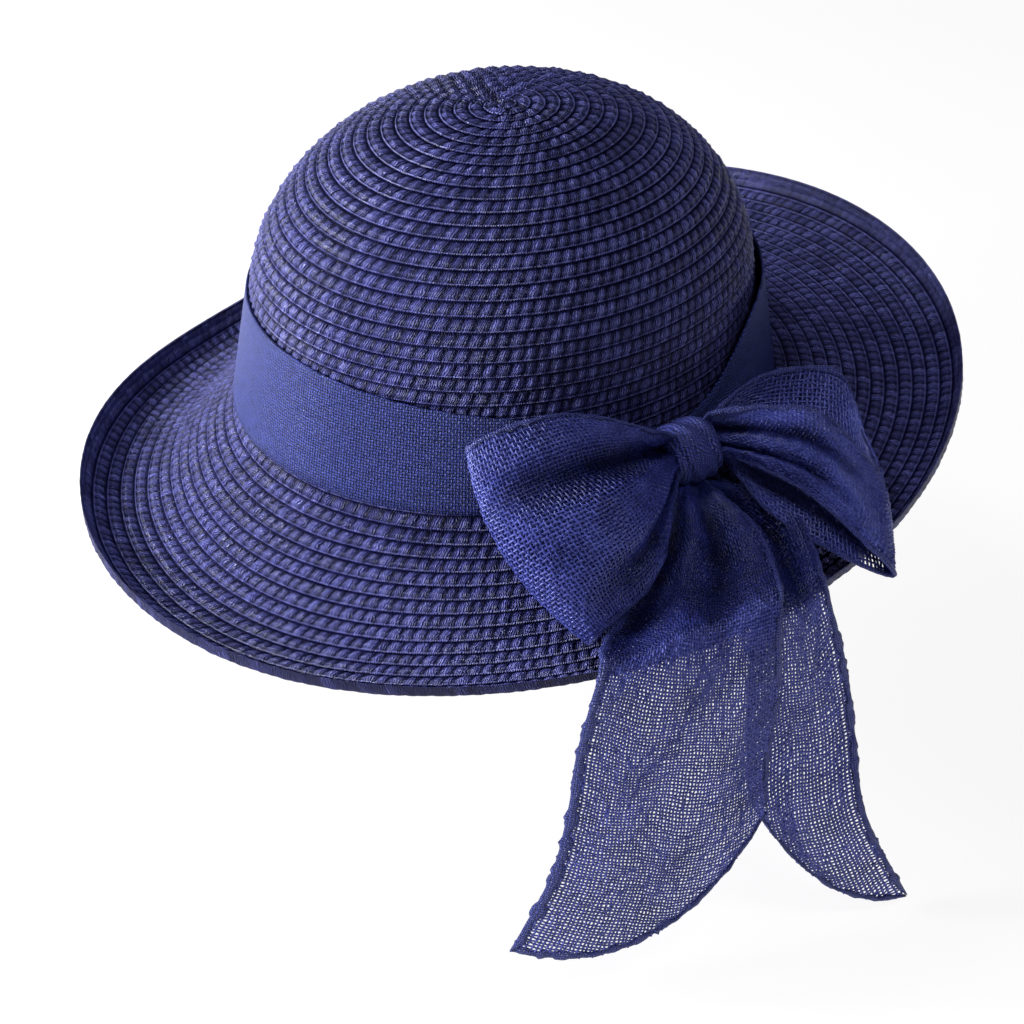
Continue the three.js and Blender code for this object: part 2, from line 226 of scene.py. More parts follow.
def plait_mesh(name, surface, azimuth, lip, radius, along, pad, depth, closed, first, limit):
    """One length of plait as a closed mesh, with what the relief needs kept as attributes.

    The arrays have a value for each column of the mesh: its azimuth, where its lip lies on
    the surface, the radius there, how far along the plait it is, its pad and its cut's depth.
    The plait keeps between the first and the limit of the surface's walk.
    """
    across = column(PLAIT_SECTION, "across") * MM
    shift = PAD_LEAN * (across - ROW / 2)
    turned = azimuth[:, None] + np.degrees(shift[None, :] / radius[:, None])
    walk = np.clip(lip[:, None] - ROW + across[None, :], first, limit)
    faces = tube_faces(len(azimuth), len(PLAIT_SECTION), closed)
    mesh = new_mesh(name, surface(turned, walk), [], faces)
    full = np.ones(walk.shape)
    # the painted light goes on to the material, which darkens covered straw and lightens the lips
    for key in ("lift", "cut", "puff", "shine"):
        keep(mesh, key, "FLOAT", full * column(PLAIT_SECTION, key)[None, :])
    keep(mesh, "out", "FLOAT_VECTOR", surface_normals(surface, turned, walk))
    keep(mesh, "depth", "FLOAT", full * depth[:, None])
    keep(mesh, "pad", "INT", full * pad[:, None])
    place = np.stack([full * along[:, None], full * across[None, :], 0 * full], axis=-1)
    keep(mesh, "place", "FLOAT_VECTOR", place / PAD)
    return mesh


def new_tree(name, sizes):
    """A Geometry Nodes tree with a geometry in and out, and an input for each named size."""
    tree = bpy.data.node_groups.new(name, "GeometryNodeTree")
    tree.interface.new_socket("Geometry", in_out="INPUT", socket_type="NodeSocketGeometry")
    for size, kind in sizes.items():
        tree.interface.new_socket(size, in_out="INPUT", socket_type="NodeSocket" + kind)
    tree.interface.new_socket("Geometry", in_out="OUTPUT", socket_type="NodeSocketGeometry")
    start = tree.nodes.new("NodeGroupInput")
    end = tree.nodes.new("NodeGroupOutput")
    return tree, start, end


def fill(node, inputs):
    """Links a node's inputs or gives them a value."""
    for key, value in inputs.items():
        if isinstance(value, bpy.types.NodeSocket):
            node.id_data.links.new(value, node.inputs[key])
        else:
            node.inputs[key].default_value = value


def add_node(tree, kind, inputs=None, **settings):
    """A node with its settings made and its inputs filled."""
    node = tree.nodes.new(kind)
    for key, value in settings.items():
        setattr(node, key, value)
    fill(node, inputs or {})
    return node


def finish_tree(tree, end, geometry, material):
    """Ends a tree in plain geometry of one material."""
    real = add_node(tree, "GeometryNodeRealizeInstances", {"Geometry": geometry})
    inputs = {"Geometry": real.outputs[0], "Material": material}
    dressed = add_node(tree, "GeometryNodeSetMaterial", inputs)
    tree.links.new(dressed.outputs[0], end.inputs[0])


def arithmetic(kind, operation, first, second):
    """What a node makes of two values, of which one at least comes from its tree."""
    tree = (first if isinstance(first, bpy.types.NodeSocket) else second).id_data
    return add_node(tree, kind, {0: first, 1: second}, operation=operation).outputs[0]


def math_node(operation, first, second=0.0):
    return arithmetic("ShaderNodeMath", operation, first, second)


def plus(*values):
    return reduce(lambda a, b: math_node("ADD", a, b), values)


def minus(first, second):
    return math_node("SUBTRACT", first, second)


def times(*values):
    return reduce(lambda a, b: math_node("MULTIPLY", a, b), values)


def vector_node(operation, first, second):
    return arithmetic("ShaderNodeVectorMath", operation, first, second)


def scaled(vector, scale):
    inputs = {0: vector, "Scale": scale}
    return add_node(vector.id_data, "ShaderNodeVectorMath", inputs, operation="SCALE").outputs[0]


def stored(tree, name, kind="FLOAT"):
    """A value that the mesh keeps under this name."""
    node = add_node(tree, "GeometryNodeInputNamedAttribute", {"Name": name}, data_type=kind)
    return node.outputs["Attribute"]


def plait_relief_tree():
    """Lifts a plait's section off the straw, sinks the cuts, and puffs each pad by chance."""
    tree, start, end = new_tree("plait_relief", {
        "Cut depth": "Float",
        "Pad puff": "Float",
        "Pad chance": "Float",
        "Wobble": "Float",
        "Seed": "Int",
        "Straw": "Material",
    })
    size = start.outputs
    chance = add_node(tree, "FunctionNodeRandomValue", {
        2: -1.0, 3: 1.0, "ID": stored(tree, "pad", "INT"), "Seed": size["Seed"],
    }, data_type="FLOAT").outputs[1]
    depth = stored(tree, "depth")
    puff = plus(size["Pad puff"], times(chance, size["Pad chance"]))
    puff = times(puff, stored(tree, "puff"), minus(1.0, depth))
    sunk = times(stored(tree, "cut"), depth, size["Cut depth"])
    waves = add_node(tree, "ShaderNodeTexNoise", {"Scale": WOBBLE_WAVES, "Detail": 1.0})
    sway = times(minus(waves.outputs[0], 0.5), size["Wobble"])
    lift = plus(times(stored(tree, "lift"), MM), puff)
    lift = plus(minus(lift, sunk), sway)
    offset = scaled(stored(tree, "out", "FLOAT_VECTOR"), lift)
    kept = add_node(tree, "GeometryNodeStoreNamedAttribute", {
        "Geometry": size["Geometry"], "Name": "chance", "Value": chance}, data_type="FLOAT")
    moved = add_node(tree, "GeometryNodeSetPosition", {
        "Geometry": kept.outputs[0], "Offset": offset})
    finish_tree(tree, end, moved.outputs[0], size["Straw"])
    return tree


def make_with(tree, name, mesh, values):
    """The plain mesh that a tree makes of a starting mesh, as a finished object."""
    piece = add_object(name, mesh)
    modifier = piece.modifiers.new(tree.name, "NODES")
    modifier.node_group = tree
    sockets = {s.name: s.identifier for s in tree.interface.items_tree if s.in_out == "INPUT"}
    for key, value in values.items():
        modifier[sockets[key]] = value
    graph = bpy.context.evaluated_depsgraph_get()
    made = bpy.data.meshes.new_from_object(
        piece.evaluated_get(graph), preserve_all_data_layers=True, depsgraph=graph)
    piece.modifiers.remove(modifier)
    piece.data = made
    made.name = name
    return piece


def new_material(name):
    """A material with only its shader, its tree and the shader node."""
    material = bpy.data.materials.new(name)
    material.use_nodes = True
    tree = material.node_tree
    return material, tree, tree.nodes["Principled BSDF"]


def colour_ramp(factor, stops):
    ramp = add_node(factor.id_data, "ShaderNodeValToRGB", {"Fac": factor})
    while len(ramp.color_ramp.elements) < len(stops):
        ramp.color_ramp.elements.new(0.5)
    for element, (position, colour) in zip(ramp.color_ramp.elements, stops):
        element.position = position
        element.color = (*colour, 1)
    return ramp.outputs["Color"]


def painted(tree, name, output="Fac"):
    """What a material reads from its mesh under this name."""
    return add_node(tree, "ShaderNodeAttribute", attribute_name=name).outputs[output]


def noise(place, scale, detail, output=0):
    inputs = {"Vector": place, "Scale": scale, "Detail": detail}
    return add_node(place.id_data, "ShaderNodeTexNoise", inputs).outputs[output]


def bump(height, distance, strength=1.0):
    inputs = {"Strength": strength, "Distance": distance, "Height": height}
    return add_node(height.id_data, "ShaderNodeBump", inputs).outputs[0]


# How light the straw is, as shares: on the whole, for its fibres, by chance from pad to pad
# and for its painted light, which adds nothing at its matt level; how much its strands show;
# and its painted shade in the cuts and over the relief, which lightens each pad's middle.
STRAW_TONE = {"base": 0.30, "fibre": 0.55, "pad": 0.15, "shine": 0.42, "matt": 0.9}
STRAW_STRANDS = {"count": 6.0, "show": 0.50, "show in cut": 0.20, "wander": 0.5}
STRAW_PAINTED_SHADE_AND_LIGHT = {"cut": 0.22, "all": 0.17}


def straw_material():
    """Dyed paper straw: fine strands that lean across the plait, satin, uneven in their dye, with
    painted shade in its cuts and under its lips, and painted highlights on its lips and pads.
    """
    material, tree, shader = new_material("straw")
    place = painted(tree, "place", "Vector")
    depth = painted(tree, "depth")
    shine = painted(tree, "shine")
    along = add_node(tree, "ShaderNodeSeparateXYZ", {0: place}).outputs[0]
    wander = times(noise(place, 1.7, 2.0), STRAW_STRANDS["wander"])
    turn = times(plus(along, wander), STRAW_STRANDS["count"] * 2 * math.pi)
    strand = plus(times(math_node("SINE", turn), 0.5), 0.5)
    stretched = add_node(tree, "ShaderNodeMapping", {"Vector": place, "Scale": (11.0, 2.2, 1.0)})
    fibre = noise(stretched.outputs[0], 1.0, 3.0)
    contrast = plus(times(depth, STRAW_STRANDS["show in cut"]), STRAW_STRANDS["show"])
    # painted shade, darkest in the cuts, and a painted highlight in the middle of each pad
    cut = times(painted(tree, "cut"), STRAW_PAINTED_SHADE_AND_LIGHT["cut"])
    sunk = times(depth, plus(cut, STRAW_PAINTED_SHADE_AND_LIGHT["all"]))
    # painted light: darker where the straw lies covered under the row before, lighter on the lips
    tone = plus(
        times(minus(strand, 0.5), contrast), STRAW_TONE["base"],
        times(fibre, STRAW_TONE["fibre"]),
        times(painted(tree, "chance"), STRAW_TONE["pad"]),
        times(minus(shine, STRAW_TONE["matt"]), STRAW_TONE["shine"]))
    colour = colour_ramp(minus(tone, sunk), [
        (0.15, (0.003, 0.003, 0.025)),
        (0.60, (0.024, 0.026, 0.146)),
        (1.00, (0.150, 0.158, 0.530)),
    ])
    gloss = add_node(tree, "ShaderNodeMapRange", {"Value": fibre, 3: 0.55, 4: 0.34})
    height = plus(strand, times(fibre, 0.8))
    fill(shader, {
        "Base Color": colour,
        "Roughness": gloss.outputs[0],
        # the painted light also sets how strongly the straw reflects: least where it lies covered
        "Specular IOR Level": times(shine, 0.5),
        "Specular Tint": (0.68, 0.72, 1.0, 1),
        "Normal": bump(height, 0.00060),
    })
    return material


STRAW = straw_material()
PLAIT_RELIEF = plait_relief_tree()
RELIEF_SIZES = {
    "Cut depth": 0.00027,
    "Pad puff": 0.00022,
    "Pad chance": 0.00016,
    "Wobble": 0.00040,
    "Seed": 7,
    "Straw": STRAW,
}


def pad_columns(pads):
    """The pad and place along the plait of every mesh column, for a run of whole pads."""
    chance = np.random.default_rng(pads).uniform(-0.5, 0.5, pads + 1)
    start = np.arange(pads + 1) + PAD_UNEVEN * chance
    start[[0, -1]] = 0, pads
    length = np.diff(start)
    pad = np.repeat(np.arange(pads), len(PAD_COLUMNS))
    share = np.tile(column(PAD_COLUMNS, "along"), pads)
    depth = np.tile(column(PAD_COLUMNS, "depth"), pads)
    return pad, (start[pad] + share * length[pad]) * PAD, depth


def crown_spiral():
    """Pads so far, azimuth, lip and radius along the plait, found by walking it in small steps.

    Every turn has a whole number of pads and a half, so that they stagger from row to row.
    """
    step = 0.0005
    azimuth = [0.0]
    lip = [CROWN_FIRST_LIP]
    radius = []
    pads = [0.0]
    turn = -1
    foot = CROWN_WALK[-1] + ROW
    while lip[-1] < foot:
        size, _ = crown_outline(np.interp(lip[-1] - ROW / 2, CROWN_WALK, CROWN_LEVEL))
        here = max(float(size) * (CROWN_LONG + CROWN_WIDE) / 4, 0.0022)
        radius.append(here)
        if azimuth[-1] // 360 > turn:
            turn = azimuth[-1] // 360
            in_turn = round(2 * math.pi * here / PAD - 0.5) + 0.5
        turned = step / here
        pads.append(pads[-1] + in_turn * turned / (2 * math.pi))
        azimuth.append(azimuth[-1] + math.degrees(turned))
        lip.append(CROWN_FIRST_LIP + ROW * azimuth[-1] / 360)
    return np.array(pads[:-1]) * PAD, np.array(azimuth[:-1]), np.array(lip[:-1]), np.array(radius)


def build_crown():
    walked, azimuth, lip, radius = crown_spiral()
    pads = int(walked[-1] / PAD)
    pad, along, depth = pad_columns(pads)
    mesh = plait_mesh(
        "crown_braid", crown_surface,
        np.interp(along, walked, azimuth) + CROWN_TIP_AZIMUTH,
        np.interp(along, walked, lip),
        np.interp(along, walked, radius),
        along, pad, depth, closed=False, first=CROWN_TIP_HOLE, limit=CROWN_WALK[-1])
    crown = make_with(PLAIT_RELIEF, "crown_braid", mesh, RELIEF_SIZES)
    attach(crown, "root")
    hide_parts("crown")


build_crown()


# ---- Brim ----
# The brim carries the same plait on from the foot of the crown, each row lapped over the next
# one out. It droops, then rises to a lip that curls up, and the last row is doubled there.
BRIM_REACH = 0.079
BRIM_GAP = 0.0003
BRIM_FILLET = 0.012
BRIM_RISE_START = 0.0365
BRIM_RISE_POWER = 1.1
BRIM_LIP = 0.013
BRIM_CURL = 52.0
BRIM_LIP_POWER = 1.5
BRIM_FIRST_LIP = 0.00149
BRIM_STEP = 0.00025          # from one place worked out along its section to the next
BRIM_ROUND_STEPS = 720       # places worked out round each of its rows
BRIM_LAP = 0.0012            # how far its first row goes up inside the foot of the crown
BRIM_ROW_TURN = 137.5        # how far round each row starts after the one before
RIM_DEPTH = 0.35             # how deep the cuts of the rim's doubled row are, as a share
# Section by azimuth: droop below level, then the angle it rises to, in degrees.
BRIM_SECTIONS = table(
    "azimuth droop rise",
    (0, 45, 34),
    (45, 26, 21),
    (90, 12, 19),
    (135, 2, 39),
    (180, -3, 35),
    (225, 18, 32),
    (270, 42, 18),
    (315, 45, 29),
)


def run_along(points):
    """How far along a line of points each of them lies, or along several lines side by side."""
    steps = np.linalg.norm(np.diff(points, axis=0), axis=-1)
    return np.concatenate([0 * steps[:1], np.cumsum(steps, axis=0)])


def through(a, b, c, d, f):
    """Smooth curve through four values in a row, at f from the second to the third."""
    start = (c - a) / 2
    end = (d - b) / 2
    f2 = f * f
    f3 = f2 * f
    curve = (2 * f3 - 3 * f2 + 1) * b + (f3 - 2 * f2 + f) * start
    return curve + (3 * f2 - 2 * f3) * c + (f3 - f2) * end


def around(rows, name, azimuth):
    """A column of a table that goes once round the hat, at azimuths in degrees."""
    values = column(rows, name)
    at = np.asarray(azimuth) / 360 % 1 * len(values)
    i = np.floor(at).astype(int)
    a, b, c, d = (values[(i + k) % len(values)] for k in (-1, 0, 1, 2))
    return through(a, b, c, d, at - i)


def brim_walk():
    """How far out and how high the brim is, for every azimuth in degrees and distance along."""
    azimuth = np.arange(361)
    s = np.arange(0, BRIM_REACH + BRIM_STEP, BRIM_STEP)
    droop = around(BRIM_SECTIONS, "droop", azimuth)[:, None]
    rise = around(BRIM_SECTIONS, "rise", azimuth)[:, None]
    middle = (s[1:] + s[:-1]) / 2
    fillet = np.sin(np.minimum(middle / BRIM_FILLET, 1) * math.pi / 2)
    turn = np.maximum(middle - BRIM_RISE_START, 0) / (BRIM_REACH - BRIM_RISE_START)
    lip = np.maximum(middle - (BRIM_REACH - BRIM_LIP), 0) / BRIM_LIP
    angle = -90 + (90 - droop) * fillet + (droop + rise) * turn ** BRIM_RISE_POWER
    angle = np.radians(angle + BRIM_CURL * lip ** BRIM_LIP_POWER)
    step = np.diff(s)
    zero = np.zeros((len(azimuth), 1))
    off = np.concatenate([zero, np.cumsum(np.cos(angle) * step, axis=1)], axis=1)
    rising = np.cumsum(np.sin(angle) * step, axis=1)
    z = np.concatenate([zero - BRIM_GAP, rising - BRIM_GAP], axis=1)
    return s, off, z


BRIM_S, BRIM_OFF, BRIM_Z = brim_walk()


def brim_surface(azimuth, walk):
    """The top of the brim, at a distance from the crown along the straw. Under 0, up its foot."""
    azimuth = np.asarray(azimuth) + 0 * walk
    a = azimuth % 360
    i = np.floor(a).astype(int)
    f = a - i
    at = np.clip(walk / BRIM_STEP, 0, len(BRIM_S) - 1.001)
    j = np.floor(at).astype(int)
    g = at - j

    def look_up(grid):
        near = grid[i, j] * (1 - g) + grid[i, j + 1] * g
        far = grid[i + 1, j] * (1 - g) + grid[i + 1, j + 1] * g
        return near * (1 - f) + far * f

    return off_crown(azimuth, look_up(BRIM_OFF), look_up(BRIM_Z) + np.maximum(-walk, 0))


def build_brim():
    """A row of plait for every round of the brim, and one more that doubles the last."""
    pieces = []
    lips = np.arange(BRIM_FIRST_LIP, BRIM_REACH, ROW)
    first_pad = 0
    walked = 0.0
    for row, lip in enumerate(list(lips) + [BRIM_REACH]):
        circle = BRIM_ROW_TURN * row + np.linspace(0, 360, BRIM_ROUND_STEPS + 1)
        ring = brim_surface(circle, np.full(len(circle), lip - ROW / 2))
        length = run_along(ring)
        pads = int(round(length[-1] / PAD))
        pad, along, depth = pad_columns(pads)
        if lip > BRIM_REACH - ROW:
            depth = depth * RIM_DEPTH
        azimuth = np.interp(along / (pads * PAD) * length[-1], length, circle)
        radius = np.hypot(*np.array([np.interp(azimuth, circle, ring[:, k]) for k in (0, 1)]))
        pieces.append(plait_mesh(
            "brim_row", brim_surface, azimuth, np.full(len(azimuth), lip), radius,
            along + walked, pad + first_pad, depth,
            closed=True, first=-BRIM_LAP, limit=BRIM_REACH + 0.0001))
        first_pad += pads
        walked += pads * PAD
    return pieces


def join_meshes(name, meshes):
    """One mesh of several, with their attributes."""
    made = [add_object(mesh.name, mesh) for mesh in meshes]
    with bpy.context.temp_override(active_object=made[0], selected_editable_objects=made):
        bpy.ops.object.join()
    joined = made[0].data
    joined.name = name
    bpy.data.objects.remove(made[0])
    return joined


brim = make_with(PLAIT_RELIEF, "brim_braid", join_meshes("brim_braid", build_brim()), RELIEF_SIZES)
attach(brim, "root")
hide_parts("brim")


# ---- Hatband ----
# A close-woven ribbon goes once round the foot of the crown. It lies flat at the back and is
# drawn up to the knot behind the bow, where it gathers and stands off the straw.
BAND_WALL = 0.0008
BAND_GAP = 0.0009
BAND_FOOT_OFF = 0.7
BAND_FOOT_SLOPE = 0.35
BAND_FOLDS = 5
BAND_FOLD_DEPTH = 0.0008
BAND_FOLD_REACH = 20.0       # how far from the knot its folds fade, in degrees
BAND_SECTIONS = table(
    "azimuth low high off",
    (0, 0.5, 40.5, 0),
    (30, 0, 36.5, 0),
    (60, -0.5, 30, 0.5),
    (90, 3, 19.5, 3),
    (120, 0.5, 39, 4),
    (150, 0, 40.5, 1.2),
    (180, 0.5, 40.5, 0),
    (210, 0.5, 40.5, 0),
    (240, 0.5, 40.5, 0),
    (270, 0.5, 40.5, 0),
    (300, 0.5, 40.5, 0),
    (330, 0.5, 41, 0),
)
BAND_COLUMNS = 360
BAND_ROWS = 14
BAND_JOIN = 90.0             # where its ends meet, behind the knot


def cloth_mesh(name, points, faces, cloth, material):
    """A smooth mesh of one material that keeps where each point lies on its cloth, in metres."""
    mesh = new_mesh(name, points, [], faces)
    keep(mesh, "cloth", "FLOAT_VECTOR", cloth)
    mesh.materials.append(material)
    mesh.shade_smooth()
    return mesh


def ring_wall(name, outer, inner, material):
    """A wall that goes once round between two grids of points, its places on the cloth kept."""
    rows, columns = outer.shape[:2]
    count = rows * columns
    faces = []
    for i in range(rows):
        for j in range(columns):
            a, b = i * columns + j, i * columns + (j + 1) % columns
            if i < rows - 1:
                c, d = b + columns, a + columns
                faces.append((a, b, c, d))
                faces.append((count + a, count + d, count + c, count + b))
            if i == 0:
                faces.append((count + a, count + b, b, a))
            if i == rows - 1:
                faces.append((a, b, count + b, count + a))
    down = run_along(outer)
    run = np.linalg.norm(np.roll(outer, -1, axis=1) - outer, axis=2).mean(axis=0)
    run = np.concatenate([[0], np.cumsum(run)[:-1]])
    cloth = np.stack([np.broadcast_to(run, (rows, columns)), down, 0 * down], axis=-1)
    return cloth_mesh(name, np.stack([outer, inner]), faces, np.stack([cloth, cloth]), material)


def woven(tree, thread, waves, slip):
    """A place on plain-woven cloth whose threads slip a little, and how high they stand there.

    The thread is the pitch of both sets, in metres, and the slip is a share of it.
    """
    cloth = painted(tree, "cloth", "Vector")
    wander = vector_node("SUBTRACT", noise(cloth, waves, 2.0, "Color"), (0.5,) * 3)
    cloth = vector_node("ADD", cloth, scaled(wander, thread * slip))
    parts = add_node(tree, "ShaderNodeSeparateXYZ", {0: cloth}).outputs
    wave = [math_node("SINE", times(parts[k], math.pi / thread)) for k in (0, 1)]
    ridge = [math_node("ABSOLUTE", w) for w in wave]
    over = add_node(tree, "ShaderNodeMapRange", {"Value": times(*wave), 1: -0.3, 2: 0.3})
    inputs = {"Factor": over.outputs[0], 2: ridge[0], 3: ridge[1]}
    return cloth, add_node(tree, "ShaderNodeMix", inputs).outputs[0]


def close_weave_material():
    """Plain-woven ribbon: two sets of fine threads over and under each other, matt, with painted shade
    between the threads.
    """
    material, tree, shader = new_material("band_ribbon")
    cloth, height = woven(tree, thread=0.00105, waves=900.0, slip=0.9)
    patchy = noise(cloth, 260.0, 3.0)
    # the threads' height sets their tone too: painted shade between the threads, plus random patches in
    # the dye
    tone = plus(times(height, 0.75), times(patchy, 0.35))
    colour = colour_ramp(tone, [
        (0.32, (0.001, 0.002, 0.018)),
        (0.60, (0.012, 0.018, 0.125)),
        (0.92, (0.058, 0.080, 0.390)),
    ])
    fill(shader, {
        "Base Color": colour,
        "Roughness": 0.5,
        "Specular Tint": (0.65, 0.72, 1.0, 1),
        "Normal": bump(height, 0.00070),
    })
    return material


def build_band():
    azimuth = BAND_JOIN + np.arange(BAND_COLUMNS) * 360 / BAND_COLUMNS
    level = np.linspace(0, 1, BAND_ROWS)[:, None]
    low, high, stand = (
        around(BAND_SECTIONS, name, azimuth)[None, :] * MM for name in ("low", "high", "off"))
    z = low + (high - low) * level
    from_join = (azimuth - BAND_JOIN + 180) % 360 - 180
    near_knot = np.exp(-(from_join / BAND_FOLD_REACH) ** 2)[None, :]
    folds = BAND_FOLD_DEPTH * near_knot * np.sin(level * math.pi * BAND_FOLDS)
    off = BAND_GAP + stand * (BAND_FOOT_OFF + (1 - BAND_FOOT_OFF) * level) + folds
    off = off + np.maximum(-z, 0) * BAND_FOOT_SLOPE
    size = 1 - CROWN_WALL_TAPER * np.maximum(z, 0) / CROWN_WALL_HEIGHT
    azimuth = azimuth[None, :] + 0 * z
    inner = off_crown(azimuth, off, z, size)
    outer = off_crown(azimuth, off + BAND_WALL, z, size)
    band = add_object(
        "hatband_ribbon", ring_wall("hatband_ribbon", outer, inner, close_weave_material()))
    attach(band, "root")
    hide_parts("hatband")


build_band()


# ---- Bow: knot ----
# The bow stands on the band in a frame of its own that leans back: along the band, up its face
# and out of its face. Its knot is a short wrap of the same ribbon, pulled tight in slanting
# folds round the pinched middle and stitched behind.
BOW_AZIMUTH = 81.0
BOW_STANDOFF = 0.020
BOW_HEIGHT = 0.021
BOW_LEAN = 35.0
KNOT_SIZE = {"along": 0.020, "up": 0.022, "out": 0.024}
KNOT_CENTRE = {"along": 0.0055, "out": -0.0095}
KNOT_POWER = 3
KNOT_BACK = 0.0028
# The creases of the wrap: where along the knot each one crosses the front, how far it slants
# on its way round, its depth in mm and how wide it is.
KNOT_CREASES = table(
    "side slant depth width",
    (-0.62, 0.35, 1.8, 0.10),
    (-0.18, 0.30, 1.1, 0.08),
    (0.22, 0.28, 2.0, 0.09),
    (0.66, 0.22, 1.2, 0.10),
)
KNOT_RINGS = 72
KNOT_COLUMNS = 96
KNOT_END = 0.02               # how far its end rings are from its tips, in radians
KNOT_ROUNDNESS = 0.85         # its girth as a share of the box round it
KNOT_WEAVE_SLANT = 0.5


def bow_frame():
    foot, step = off_crown(BOW_AZIMUTH, np.array([0.0, 1.0]), 0)
    outwards = step - foot
    lean = math.radians(BOW_LEAN)
    out = outwards * math.cos(lean) + np.array([0, 0, math.sin(lean)])
    up = -outwards * math.sin(lean) + np.array([0, 0, math.cos(lean)])
    middle = foot + outwards * BOW_STANDOFF + np.array([0, 0, BOW_HEIGHT])
    return middle, np.cross(up, out), up, out, outwards


BOW_MIDDLE, BOW_ALONG, BOW_UP, BOW_OUT, BOW_OUTWARDS = bow_frame()


def on_bow(along, up, out):
    """Points in the hat's frame from places in the bow's own frame, in metres."""
    along, up, out = (np.asarray(c)[..., None] for c in (along, up, out))
    return BOW_MIDDLE + along * BOW_ALONG + up * BOW_UP + out * BOW_OUT


def open_weave_material():
    """The bow's stiff open ribbon: round matt threads, a little uneven in their dye, darkened by painted
    shade and lightened by painted light that its mesh keeps as its shade.
    """
    material, tree, shader = new_material("bow_ribbon")
    place = add_node(tree, "ShaderNodeTexCoord").outputs["Object"]
    fine = noise(place, 1400.0, 2.0)
    broad = noise(place, 90.0, 2.0)
    shade = painted(tree, "shade")
    tone = plus(times(fine, 0.6), times(broad, 0.4))
    # painted shade from the mesh darkens the threads, and below naught it is painted light
    tone = minus(tone, times(shade, 0.36))
    colour = colour_ramp(tone, [
        (0.10, (0.001, 0.0015, 0.016)),
        (0.30, (0.007, 0.010, 0.080)),
        (0.50, (0.022, 0.030, 0.205)),
        (0.75, (0.078, 0.095, 0.440)),
    ])
    # deep painted shade also takes the threads' reflections away
    gloss = add_node(tree, "ShaderNodeMapRange", {"Value": shade, 3: 0.7, 4: 0.05})
    fill(shader, {
        "Base Color": colour,
        "Roughness": 0.38,
        "Specular IOR Level": gloss.outputs[0],
        "Specular Tint": (0.72, 0.78, 1.0, 1),
        "Normal": bump(fine, 0.0001, strength=0.4),
    })
    return material


def folded_weave_material():
    """The same ribbon where it lies in several layers, so that no light comes through it."""
    material, tree, shader = new_material("bow_ribbon_layers")
    _, height = woven(tree, thread=0.0009, waves=500.0, slip=1.0)
    # the threads' height sets their tone: painted shade between the threads
    colour = colour_ramp(height, [
        (0.15, (0.001, 0.002, 0.018)),
        (0.60, (0.017, 0.022, 0.165)),
        (1.00, (0.072, 0.092, 0.430)),
    ])
    fill(shader, {
        "Base Color": colour,
        "Roughness": 0.42,
        "Specular IOR Level": 0.6,
        "Specular Tint": (0.72, 0.78, 1.0, 1),
        "Normal": bump(height, 0.0004),
    })
    return material


OPEN_WEAVE = open_weave_material()
FOLDED_WEAVE = folded_weave_material()


def build_knot():
    side = -np.cos(np.linspace(KNOT_END, math.pi - KNOT_END, KNOT_RINGS))[:, None]
    turn = (np.arange(KNOT_COLUMNS) * 2 * math.pi / KNOT_COLUMNS - math.pi)[None, :]

    def power(value):
        return np.sign(value) * np.abs(value) ** (2 / KNOT_POWER)

    reach = np.sqrt(np.maximum(1 - side ** 2, 0)) ** (2 / KNOT_POWER)
    fold = 0 * side * turn
    for crease in KNOT_CREASES:
        away = side - crease["side"] + crease["slant"] * np.sin(turn)
        fold = fold - crease["depth"] * MM * np.exp(-(away / crease["width"]) ** 2) * reach
    up = power(np.sin(turn)) * reach * (KNOT_SIZE["up"] / 2 + fold)
    out = power(np.cos(turn)) * reach * (KNOT_SIZE["out"] / 2 + fold)
    along = KNOT_CENTRE["along"] + power(side) * KNOT_SIZE["along"] / 2 + 0 * turn
    points = on_bow(along, up, KNOT_CENTRE["out"] + out)
    off = (points - BOW_MIDDLE) @ BOW_OUTWARDS + BOW_STANDOFF
    points = points + np.maximum(KNOT_BACK - off, 0)[..., None] * BOW_OUTWARDS
    # its rings run the other way round than a tube's
    faces = [face[:1] + face[:0:-1] for face in tube_faces(KNOT_RINGS, KNOT_COLUMNS)]
    girth = 2 * (KNOT_SIZE["up"] + KNOT_SIZE["out"]) * KNOT_ROUNDNESS
    wound = turn / (2 * math.pi) * girth + along * KNOT_WEAVE_SLANT
    cloth = np.stack([along, wound, 0 * along], axis=-1)
    mesh = cloth_mesh("bow_knot_wrap", points, faces, cloth, FOLDED_WEAVE)
    knot = add_object("bow_knot_wrap", mesh)
    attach(knot, "root")
    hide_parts("bow_knot")


build_knot()


# ---- Bow: loops ----
# Each loop is one stretch of open plain-woven ribbon, folded over at its outer end, with both
# ends pleated into the knot. Its edges are rolled into narrow hems.
THREAD_PITCH = {"loop": 0.00145, "left tail": 0.00122, "right tail": 0.00140}
THREAD_SLIP = {"along": 0.007, "across": 0.014}
THREAD_SLIP_WAVES = (1.5, 2.6, 4.1, 6.3)
THREAD_RADIUS = 0.33          # half the width of a flat thread, as a share of the pitch
THREAD_FLATNESS = 0.55
WANDER_WAVES = 420.0          # how many waves a metre has where threads wander
HEM_COVER = 0.75              # share of a hem's width where the open net begins
DRAWN_THREAD = 1.25           # how much wider the row of holes is beside a hem's stitches
LOOP_PLEAT_DEPTH = 0.0026
LOOP_PLEATS = 2.5
LOOP_PLEAT_FADE = 1.7
